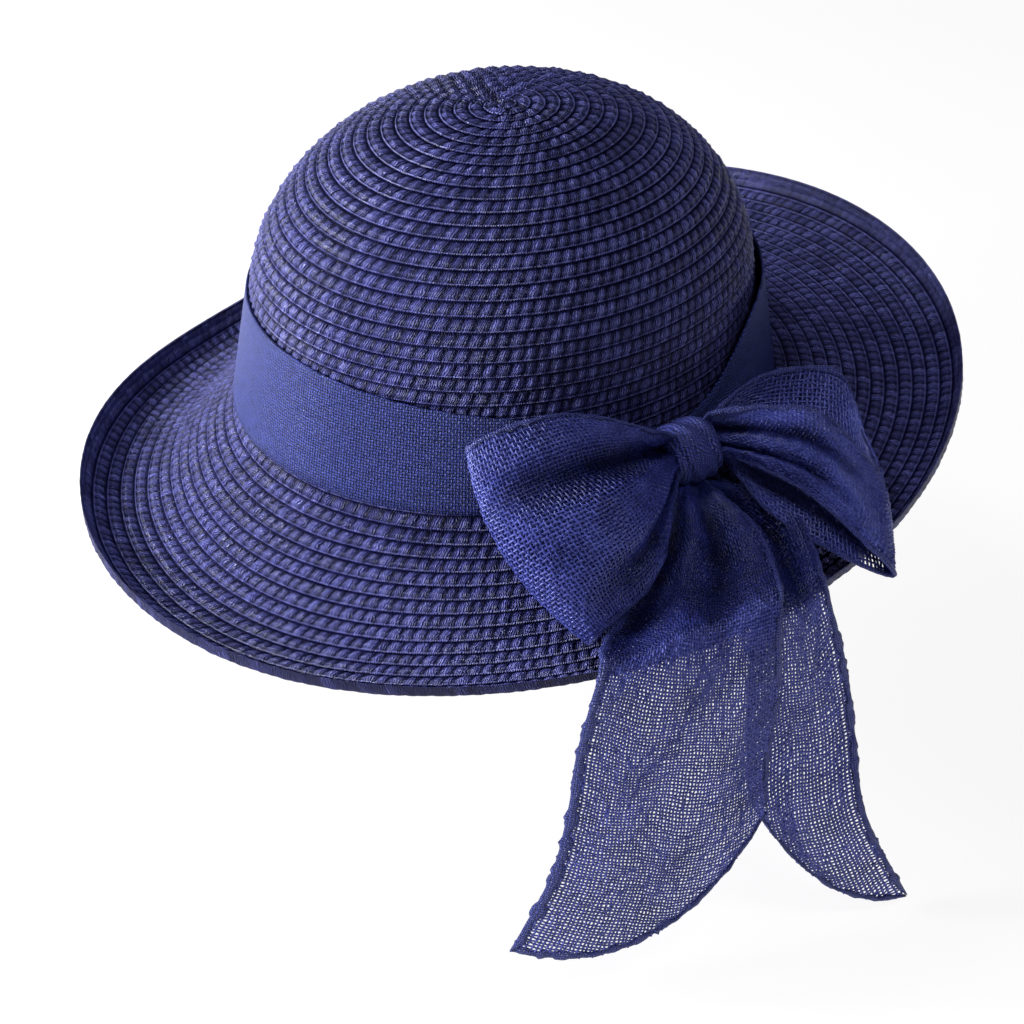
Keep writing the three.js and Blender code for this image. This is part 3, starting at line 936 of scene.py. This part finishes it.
# From the knot along the back layer, round the outer fold and back along the front, in mm:
# the ribbon's top and low edge in the bow's frame, how far its middle bulges out and swells.
LOOP_COLUMNS = "topAlong topUp topOut lowAlong lowUp lowOut bulge swell"
LEFT_LOOP_ROWS = table(
    LOOP_COLUMNS,
    (2, 4, -8, 2, -5, -8, 0, 0),
    (-5.1, 6, -9, -5.1, -6, -9, 0, 0),
    (-38, 23, -7.5, -32, -28, -6, -4, 0),
    (-64, 28, -8, -52, -41, -1, -4, -6),
    (-73, 27, -5, -58, -45, 1.5, 0, -9),
    (-64, 29, 1, -52, -41, 7, 8, -6),
    (-40, 26, 5, -31, -31, 11, 11, 0),
    (-5.1, 9, -1.5, -5.1, -8, -1.5, 1, 0),
    (2, 6, -3, 2, -6, -3, 0, 0),
)
RIGHT_LOOP_ROWS = table(
    LOOP_COLUMNS,
    (9, 5, -8, 9, -4, -8, 0, 0),
    (16.3, 8, -9, 16.3, -5, -7, 0, 0),
    (42, 15, -6, 20, -29, 6, -3, 0),
    (69, 7, -2, 26.5, -48, 27.5, -4, 1),
    (64, -14, 8, 37.5, -58.8, 34, 0, 2),
    (55, -26, 20, 32, -49, 36, 3, 1),
    (42, -1, 16, 27, -24, 17, 6, 0),
    (16.3, 10, 0, 16.3, -7, 0, 1, 0),
    (9, 7, -3, 9, -6, -3, 0, 0),
)
# The long folds of the front layer: how far round the loop each starts, where across the
# ribbon it lies there and at the knot, its width as a share, and its depth in mm.
FOLD_COLUMNS = "from outer inner wide depth"
LEFT_LOOP_FOLDS = table(
    FOLD_COLUMNS,
    (0.50, 0.26, 0.34, 0.110, 8.0),
    (0.60, 0.88, 0.82, 0.070, 6.0),
)
RIGHT_LOOP_FOLDS = table(
    FOLD_COLUMNS,
    (0.62, 0.36, 0.38, 0.110, 7.0),
    (0.64, 0.78, 0.74, 0.070, 5.0),
)
FOLDS_DEEPEST = 0.76           # how far round the loop its folds are at their deepest
# How much painted shade a loop's cloth gets, as shares: for each mm of a fold, at the knot, at
# the outer fold and all over, where it is below naught and so painted light, and at the least.
LOOP_SHADE = {"fold": 0.125, "knot": 0.5, "outside": -0.25, "all": -0.10, "least": -0.35}


def run_through(rows, t):
    """Every column of an open table, at shares t of its length."""
    at = np.clip(t, 0, 1 - 1e-9) * (len(rows) - 1)
    i = np.floor(at).astype(int)
    row = {}
    for name in rows[0]:
        values = column(rows, name)
        a, b, c, d = (values[np.clip(i + k, 0, len(values) - 1)] for k in (-1, 0, 1, 2))
        row[name] = through(a, b, c, d, at - i)
    return row


def mixed(a, b, f):
    return a + (b - a) * f


def hill(v):
    return 4 * v * (1 - v)


def loop_fold(folds):
    """How deep the long folds of a loop are, at shares t along it and v across it, in mm."""
    def fold_at(t, v):
        deep = 0 * t * v
        for fold in folds:
            reach = np.clip((t - fold["from"]) / (FOLDS_DEEPEST - fold["from"]), 0, 1)
            middle = fold["outer"] + (fold["inner"] - fold["outer"]) * reach
            valley = np.exp(-((v - middle) / fold["wide"]) ** 2)
            deep = deep + fold["depth"] * np.sin(reach * math.pi / 2) ** 2 * valley
        return deep
    return fold_at


def loop_surface(rows, folds):
    """The middle of a loop's ribbon, at shares t along it and v across it."""
    fold_at = loop_fold(folds)

    def surface(t, v):
        row = run_through(rows, t)
        near_knot = np.abs(2 * t - 1) ** LOOP_PLEAT_FADE
        pleat = LOOP_PLEAT_DEPTH / MM * near_knot * np.cos(2 * math.pi * LOOP_PLEATS * v) - fold_at(t, v)
        return on_bow(
            (mixed(row["topAlong"], row["lowAlong"], v) + row["swell"] * hill(v)) * MM,
            mixed(row["topUp"], row["lowUp"], v) * MM,
            (mixed(row["topOut"], row["lowOut"], v) + row["bulge"] * hill(v) + pleat) * MM)
    return surface


def loop_shade(folds):
    """How much painted shade a loop's cloth gets: most in its folds and at the knot, with painted light
    on its outer fold.
    """
    fold_at = loop_fold(folds)

    def shade(t, v):
        from_outside = 2 * np.abs(t - 0.5)
        at_knot = np.clip(4 * from_outside - 2.6, 0, 1)
        outside = np.clip(1 - 2 * from_outside, 0, 1)
        shade = fold_at(t, v) * LOOP_SHADE["fold"] + LOOP_SHADE["knot"] * at_knot
        shade = shade + LOOP_SHADE["all"] + LOOP_SHADE["outside"] * outside
        return np.clip(shade, LOOP_SHADE["least"], 1)
    return shade


def ribbon_normals(surface, t, v):
    d = 1e-3
    along = surface(np.clip(t + d, 0, 1), v) - surface(np.clip(t - d, 0, 1), v)
    across = surface(t, np.clip(v + d, 0, 1)) - surface(t, np.clip(v - d, 0, 1))
    return unit(np.cross(across, along))


def ribbon_widths(surface, t):
    """How wide the ribbon is across each place along it."""
    v = np.linspace(0, 1, 33)
    points = surface(t[:, None] + 0 * v[None, :], v[None, :] + 0 * t[:, None])
    return np.linalg.norm(np.diff(points, axis=1), axis=2).sum(axis=1)


def drifted(t, v, seed):
    """Crossings moved a little along and across the ribbon, as loose threads slip in waves."""
    rng = np.random.default_rng(seed)
    slip = [0 * t, 0 * t]
    for waves in THREAD_SLIP_WAVES:
        for k in (0, 1):
            start, slope = rng.uniform(0, 2 * math.pi), rng.uniform(-2, 2)
            slip[k] = slip[k] + np.sin(2 * math.pi * (waves * t + slope * v) + start) / waves
    quiet = hill(v) * np.clip(4 * hill(t), 0, 1)
    along = t + THREAD_SLIP["along"] * quiet * slip[0]
    return along, v + THREAD_SLIP["across"] * quiet * slip[1]


def weave_grid(name, surface, shade, widths, pitch, trimmed, seed):
    """The threads' crossings as a net of edges: warp along the ribbon, weft across it.

    Where trimmed, every warp thread has its true length and the cut end stops it, and else
    the weft lies at even shares of the ribbon's middle line.
    """
    fine = np.linspace(0, 1, 600)
    wide = ribbon_widths(surface, fine)
    warps = int(np.percentile(wide, 80) / pitch)
    steps = np.ones(warps - 1)
    steps[[1, -2]] = DRAWN_THREAD
    share = np.concatenate([[0], np.cumsum(steps)]) / steps.sum()
    first = HEM_COVER * widths[0] / wide
    last = 1 - HEM_COVER * widths[1] / wide
    v = first[:, None] + (last - first)[:, None] * share[None, :]
    walked = run_along(surface(fine[:, None] + 0 * v, v))
    if not trimmed:
        walked = np.repeat(walked[:, warps // 2:warps // 2 + 1], warps, axis=1)
    wefts = int(walked[-1].max() / pitch)
    s = np.arange(wefts) * pitch
    t = np.stack([np.interp(s, walked[:, i], fine) for i in range(warps)], axis=1)
    there = s[:, None] <= walked[-1][None, :]
    grid_v = np.stack([np.interp(t[:, i], fine, v[:, i]) for i in range(warps)], axis=1)
    number = np.full(t.shape, -1)
    number[there] = np.arange(there.sum())
    k, i = np.nonzero(there)
    t, grid_v = drifted(t[there], grid_v[there], seed)
    along_ok = there[1:] & there[:-1]
    across_ok = there[:, 1:] & there[:, :-1]
    warp = np.stack([number[:-1][along_ok], number[1:][along_ok]], axis=1)
    weft = np.stack([number[:, :-1][across_ok], number[:, 1:][across_ok]], axis=1)
    mesh = new_mesh(name, surface(t, grid_v), np.concatenate([warp, weft]).tolist(), [])
    keep(mesh, "out", "FLOAT_VECTOR", ribbon_normals(surface, t, grid_v))
    # the painted shade that the bow's material takes off the threads' tone
    keep(mesh, "shade", "FLOAT", shade(t, grid_v))
    keep(mesh, "over", "FLOAT", 1.0 - 2.0 * ((k + i) % 2))
    keep(mesh, "warp", "BOOLEAN", np.arange(len(warp) + len(weft)) < len(warp), domain="EDGE")
    return mesh


def weave_tree():
    """Runs a round thread along each line of the net, over and under those that it crosses."""
    tree, start, end = new_tree("open_weave", {
        "Thread radius": "Float",
        "Crimp": "Float",
        "Wander": "Float",
        "Seed": "Float",
        "Ribbon": "Material",
    })
    size = start.outputs
    sets = add_node(tree, "GeometryNodeSeparateGeometry", {
        "Geometry": size["Geometry"], "Selection": stored(tree, "warp", "BOOLEAN")}, domain="EDGE")
    section = add_node(tree, "GeometryNodeCurvePrimitiveCircle", {
        "Resolution": 4, "Radius": size["Thread radius"]})
    section = add_node(tree, "GeometryNodeTransform", {
        "Geometry": section.outputs[0], "Scale": (THREAD_FLATNESS, 1.0, 1.0)})
    chance = add_node(tree, "ShaderNodeTexNoise", {
        "Scale": WANDER_WAVES, "Detail": 1.0, "W": size["Seed"]}, noise_dimensions="4D")
    wander = vector_node("SUBTRACT", chance.outputs["Color"], (0.5,) * 3)
    wander = scaled(wander, size["Wander"])
    out = stored(tree, "out", "FLOAT_VECTOR")
    both = add_node(tree, "GeometryNodeJoinGeometry")
    for side, which in ((1.0, "Selection"), (-1.0, "Inverted")):
        curve = add_node(tree, "GeometryNodeMeshToCurve", {"Mesh": sets.outputs[which]})
        lift = times(stored(tree, "over"), size["Crimp"], side)
        offset = vector_node("ADD", scaled(out, lift), wander)
        moved = add_node(tree, "GeometryNodeSetPosition", {
            "Geometry": curve.outputs[0], "Offset": offset})
        faced = add_node(tree, "GeometryNodeSetCurveNormal", {
            "Curve": moved.outputs[0], "Normal": out}, mode="FREE")
        thread = add_node(tree, "GeometryNodeCurveToMesh", {
            "Curve": faced.outputs[0], "Profile Curve": section.outputs[0], "Fill Caps": True})
        tree.links.new(thread.outputs[0], both.inputs[0])
    smooth = add_node(tree, "GeometryNodeSetShadeSmooth", {"Geometry": both.outputs[0]})
    finish_tree(tree, end, smooth.outputs[0], size["Ribbon"])
    return tree


WEAVE = weave_tree()
WEAVE_SIZES = {
    "Crimp": 0.00022,
    "Wander": 0.0015,
    "Ribbon": OPEN_WEAVE,
}
HEM_THICKNESS = 0.0014
HEM_SIDES = 8
HEM_STEP = 0.0011
HEM_TAPER = 5                 # over how many steps a hem runs out at its ends
HEM_WAVE = 0.60               # how much a hem's width varies, as a share
HEM_TIP = 0.15                # its width at its very end, as a share
HEM_SWAY = 0.0004             # how much it leans out of the ribbon's face


def smoothed_chance(rng, count, over):
    """Values of chance along a line, each the mean of a few in a row."""
    return np.convolve(rng.normal(0, 1, count + 8), np.ones(over) / over, mode="valid")[:count]


def hem_tube(points, inward, normal, width, rng):
    """A flat rolled hem along a line of points, a little wavy, as rings of points."""
    count = len(points)
    wave = smoothed_chance(rng, count, 3)
    wide = width / 2 * (1 + HEM_WAVE * np.clip(wave, -0.4, 1.0))
    ends = np.minimum(np.arange(count), np.arange(count)[::-1])
    wide = wide * np.clip(HEM_TIP + ends / HEM_TAPER, 0, 1)
    lean = smoothed_chance(rng, count, 4) * HEM_SWAY
    centre = points + inward * np.minimum(wide, width / 2)[:, None] + normal * lean[:, None]
    # the rings turn so that their faces look outward
    middle = count // 2
    course = points[middle + 1] - points[middle]
    hand = np.sign(np.dot(np.cross(inward[middle], normal[middle]), course))
    turn = hand * np.arange(HEM_SIDES) * 2 * math.pi / HEM_SIDES
    return (centre[:, None, :]
            + inward[:, None, :] * (wide[:, None] * np.cos(turn)[None, :])[..., None]
            + normal[:, None, :] * (HEM_THICKNESS / 2 * np.sin(turn)[None, :])[..., None])


def tubes_mesh(name, tubes, material):
    """One mesh of closed tubes, each given as rings of points, with its place along as cloth."""
    points = []
    faces = []
    cloth = []
    for rings in tubes:
        count, sides = rings.shape[:2]
        first = sum(len(p) for p in points)
        points.append(rings.reshape(-1, 3))
        run = run_along(rings.mean(axis=1))[:, None]
        round_it = (np.arange(sides) * HEM_THICKNESS)[None, :]
        place = np.stack(np.broadcast_arrays(run, round_it, 0.0), axis=-1)
        cloth.append(place.reshape(-1, 3))
        faces += [tuple(first + i for i in face) for face in tube_faces(count, sides)]
    return cloth_mesh(name, np.concatenate(points), faces, np.concatenate(cloth), material)


def hems(name, surface, widths, ends, seed):
    """The rolled hems of a ribbon: along both edges, and across its cut end where it has one."""
    rng = np.random.default_rng(seed)
    fine = np.linspace(0, 1, 400)
    tubes = []
    lines = [(fine, 0 * fine, 0.01, widths[0]), (fine, 0 * fine + 1, -0.01, widths[1])]
    if ends:
        lines.append((0 * fine + 1, fine, None, widths[2]))
    for t, v, side, width in lines:
        walked = run_along(surface(t, v))
        at = np.interp(np.arange(0, walked[-1], HEM_STEP), walked, fine)
        t, v = np.interp(at, fine, t), np.interp(at, fine, v)
        here = surface(t, v)
        inside = surface(t, v + side) if side else surface(t - 0.01, v)
        normal = ribbon_normals(surface, t, np.clip(v, 0.002, 0.998))
        tubes.append(hem_tube(here, unit(inside - here), normal, width, rng))
    hem = add_object(name, tubes_mesh(name, tubes, FOLDED_WEAVE))
    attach(hem, "root")
    return hem


def build_ribbon(node, surface, shade, widths, pitch, ends, seed):
    """Weaves one stretch of the bow's ribbon and hems it."""
    net = weave_grid(node, surface, shade, widths, pitch, trimmed=ends, seed=seed)
    name = node + "_ribbon"
    ribbon = make_with(WEAVE, name, net, {
        **WEAVE_SIZES, "Thread radius": pitch * THREAD_RADIUS, "Seed": float(seed)})
    hem = hems(node + "_hem", surface, widths, ends, seed)
    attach(ribbon, "root")
    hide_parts(node)


build_ribbon(
    "bow_loop_left", loop_surface(LEFT_LOOP_ROWS, LEFT_LOOP_FOLDS), loop_shade(LEFT_LOOP_FOLDS),
    widths=(0.002, 0.002),
    pitch=THREAD_PITCH["loop"],
    ends=False, seed=11)
build_ribbon(
    "bow_loop_right", loop_surface(RIGHT_LOOP_ROWS, RIGHT_LOOP_FOLDS), loop_shade(RIGHT_LOOP_FOLDS),
    widths=(0.002, 0.002),
    pitch=THREAD_PITCH["loop"],
    ends=False, seed=12)


# ---- Bow: tails ----
# The ribbon's two ends leave the knot side by side, lie over the brim and hang from its lip.
# Each is cut in a curve, and its edges and its cut end are rolled into a hem and sewn.
# From the knot to the cut end: azimuth, distance off the crown's foot and height of its two
# edges in mm, how far the middle bulges out, and how far it sags.
TAIL_COLUMNS = "azL offL zL azR offR zR bulge sag"
LEFT_TAIL_ROWS = table(
    TAIL_COLUMNS,
    (78, 16, 9, 85, 20, 8.5, 1, 0),
    (69, 37, -0.5, 85, 39, 4, 2, 0),
    (61.5, 50, -8.6, 84.7, 50, 1.5, 2, 0),
    (57, 63, -12.4, 82.4, 62, 0, 1, 0),
    (56, 71.5, -12.6, 80.2, 73, -2, 0, 0),
    (54.8, 75.5, -21, 78.4, 79.5, -14, 0, 0),
    (53, 77, -42, 78, 82, -35, 2, 0),
    (52, 79, -63, 77, 82.5, -55, 4, 4),
    (50, 81.5, -88, 76.5, 84, -69, 5, 10),
    (45.5, 84, -118, 76.5, 85, -80, 5, 16),
)
RIGHT_TAIL_ROWS = table(
    TAIL_COLUMNS,
    (82.5, 13.5, 2.5, 90, 17, 3, 0, 0),
    (81, 40, -4, 94, 42, 0, 0, 0),
    (77.5, 58, -9, 91, 59, -3, 0, 0),
    (75.5, 71.5, -8, 87.2, 72.5, -4, 0, 0),
    (75, 75, -17, 87.2, 77.5, -13, 0, 0),
    (74.7, 76, -38, 88.3, 82, -32, 0, 0),
    (75, 77, -56, 89.2, 87, -58, 0, 2),
    (75, 78.5, -70, 89, 96, -91, 0, 8),
    (75.5, 80, -80, 94.5, 106, -133, 0, 14),
)
TAIL_GATHER_DEPTH = 0.0045
TAIL_GATHERS = 2.0
TAIL_FIRST_VALLEY = 0.15      # where across the tail its first gather is deepest
TAIL_GATHER_START = 0.12
TAIL_GATHER_REACH = 0.55
TAIL_LEAVES_BRIM = 0.46       # how far along it a tail leaves the brim's lip
# painted shade in a tail's gathers and where it lies on the dark brim, and painted light where it hangs
TAIL_SHADE = {"gather": 0.9, "brim": 0.30, "hanging": -0.30}


def tail_gather(t, v):
    """How far a tail's gathers rise above its even course or sink under it, as a share."""
    near_knot = np.clip(1 - t / TAIL_GATHER_REACH, 0, 1) * np.clip(t / TAIL_GATHER_START, 0, 1)
    return -near_knot * np.cos(2 * math.pi * TAIL_GATHERS * (v - TAIL_FIRST_VALLEY))


def tail_shade(t, v):
    """How much painted shade a tail gets: more in its gathers and on the dark brim, and painted light
    where it hangs free.
    """
    on_brim = np.clip((TAIL_LEAVES_BRIM - t) / 0.05, 0, 1)
    sunk = np.clip(-TAIL_SHADE["gather"] * tail_gather(t, v), 0, 1)
    return sunk + TAIL_SHADE["brim"] * on_brim + TAIL_SHADE["hanging"] * (1 - on_brim)


def tail_surface(rows):
    """The middle of a tail's ribbon, at shares t along it and v across it."""
    def surface(t, v):
        row = run_through(rows, t)
        gather = TAIL_GATHER_DEPTH / MM * tail_gather(t, v)
        return off_crown(
            mixed(row["azL"], row["azR"], v),
            (mixed(row["offL"], row["offR"], v) + row["bulge"] * hill(v)) * MM,
            (mixed(row["zL"], row["zR"], v) - row["sag"] * hill(v) + gather) * MM)
    return surface


build_ribbon(
    "bow_tail_left", tail_surface(LEFT_TAIL_ROWS), tail_shade, widths=(0.0035, 0.0025, 0.003),
    pitch=THREAD_PITCH["left tail"],
    ends=True, seed=13)
build_ribbon(
    "bow_tail_right", tail_surface(RIGHT_TAIL_ROWS), tail_shade, widths=(0.0025, 0.0025, 0.003),
    pitch=THREAD_PITCH["right tail"],
    ends=True, seed=14)


# ---- Floor and light ----
# A white glass table that is lit from below, so that hardly a shadow shows on it, in a dim
# room. Soft lights stand low in front and at the hat's left, a broad one above on that side,
# and a weak one over the bow.
FLOOR_Z = -0.137
FLOOR_SIZE = 12.0
FLOOR_GLOW = 0.86
ROOM_STRENGTH = 0.05


def build_room():
    half = FLOOR_SIZE / 2
    corners = [(x * half, y * half, FLOOR_Z) for x, y in ((-1, -1), (1, -1), (1, 1), (-1, 1))]
    mesh = new_mesh("floor", np.array(corners), [], [(0, 1, 2, 3)])
    material, tree, shader = new_material("floor_paint")
    grain = add_node(tree, "ShaderNodeTexCoord").outputs["Object"]
    grain = add_node(tree, "ShaderNodeTexNoise", {"Vector": grain, "Scale": 3.0}).outputs[0]
    colour = colour_ramp(grain, [(0.0, (0.17, 0.17, 0.175)), (1.0, (0.20, 0.20, 0.20))])
    fill(shader, {
        "Base Color": colour,
        "Roughness": 0.9,
        "Emission Color": (1.0, 0.995, 1.0, 1),
        "Emission Strength": FLOOR_GLOW,
    })
    mesh.materials.append(material)
    add_object("floor", mesh)
    world = bpy.data.worlds.new("room")
    world.use_nodes = True
    background = world.node_tree.nodes["Background"]
    fill(background, {"Color": (0.93, 0.95, 1.0, 1), "Strength": ROOM_STRENGTH})
    bpy.context.scene.world = world


def add_light(name, azimuth, elevation, distance, size, power):
    """A square soft light that looks at the hat."""
    data = bpy.data.lights.new(name, "AREA")
    data.size = size
    data.energy = power
    light = add_object(name, data)
    place = direction(azimuth, elevation) * distance
    light.location = place
    light.rotation_euler = place.to_track_quat("Z", "Y").to_euler()


build_room()
add_light("key", azimuth=-25, elevation=12, distance=0.8, size=0.3, power=9.6)
add_light("side", azimuth=-72, elevation=15, distance=0.8, size=0.2, power=5.0)
add_light("top", azimuth=-60, elevation=65, distance=1.3, size=0.4, power=6.0)
add_light("right", azimuth=90, elevation=55, distance=1.3, size=0.3, power=3.2)
bpy.context.scene.view_settings.view_transform = "Standard"
